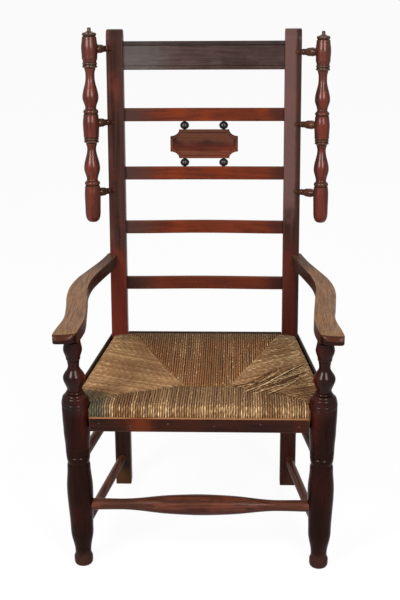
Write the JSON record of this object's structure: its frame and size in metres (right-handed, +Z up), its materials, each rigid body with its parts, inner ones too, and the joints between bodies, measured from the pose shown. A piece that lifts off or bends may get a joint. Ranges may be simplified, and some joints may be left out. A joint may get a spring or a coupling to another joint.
{
  "type": "ladder-back armchair",
  "caption": "Tall wooden ladder-back armchair with a woven rush seat, shaped flat arms, turned front posts and turned wing spindles carried on pegs beside the head.",
  "frame": {"origin": "on the floor, at the middle of the bottom of the whole chair's box", "axes": "+Z up, -Y the way the sitter faces, +X to the right of someone who looks at the chair's front"},
  "size_m": [0.6188, 0.5716, 1.1502],
  "materials": {
    "dark_post": "dark red-brown stain, satin wax",
    "front_leg": "almost black brown stain, satin wax",
    "red_brown": "red-brown stain, waxed to a shine",
    "crest": "dark brown stain with a grey bloom",
    "black": "ebonised, polished",
    "worn_arm": "stain worn through to pale brown wood with open grain",
    "plain_rail": "bare wood inside the rush",
    "rush": "twisted rush, dull tan and grey-brown",
    "strip": "red-brown stain, worn pale along the upper edge"
  },
  "bodies": {
    "root": {"arm_left": "worn_arm", "arm_right": "worn_arm", "back_slat_1": "red_brown", "back_slat_2": "red_brown", "back_slat_3": "red_brown", "back_slat_4": "red_brown", "bead_lower_left": "black", "bead_lower_right": "black", "bead_upper_left": "black", "bead_upper_right": "black", "crest_rail": "crest", "edge_strip_front": "strip", "edge_strip_left": "strip", "edge_strip_rear": "strip", "edge_strip_right": "strip", "front_post_left": "front_leg", "front_post_right": "front_leg", "front_stretcher": "dark_post", "rear_post_left": "dark_post", "rear_post_right": "dark_post", "rear_stretcher": "dark_post", "rush_seat": "rush", "seat_rail_front": "plain_rail", "seat_rail_left": "plain_rail", "seat_rail_rear": "plain_rail", "seat_rail_right": "plain_rail", "side_stretcher_lower_left": "dark_post", "side_stretcher_lower_right": "dark_post", "side_stretcher_upper_left": "dark_post", "side_stretcher_upper_right": "dark_post", "tablet": "red_brown", "wing_peg_left_1": "red_brown", "wing_peg_left_2": "red_brown", "wing_peg_left_3": "red_brown", "wing_peg_right_1": "red_brown", "wing_peg_right_2": "red_brown", "wing_peg_right_3": "red_brown", "wing_spindle_left": "red_brown", "wing_spindle_right": "red_brown"}
  },
  "joints": []
}
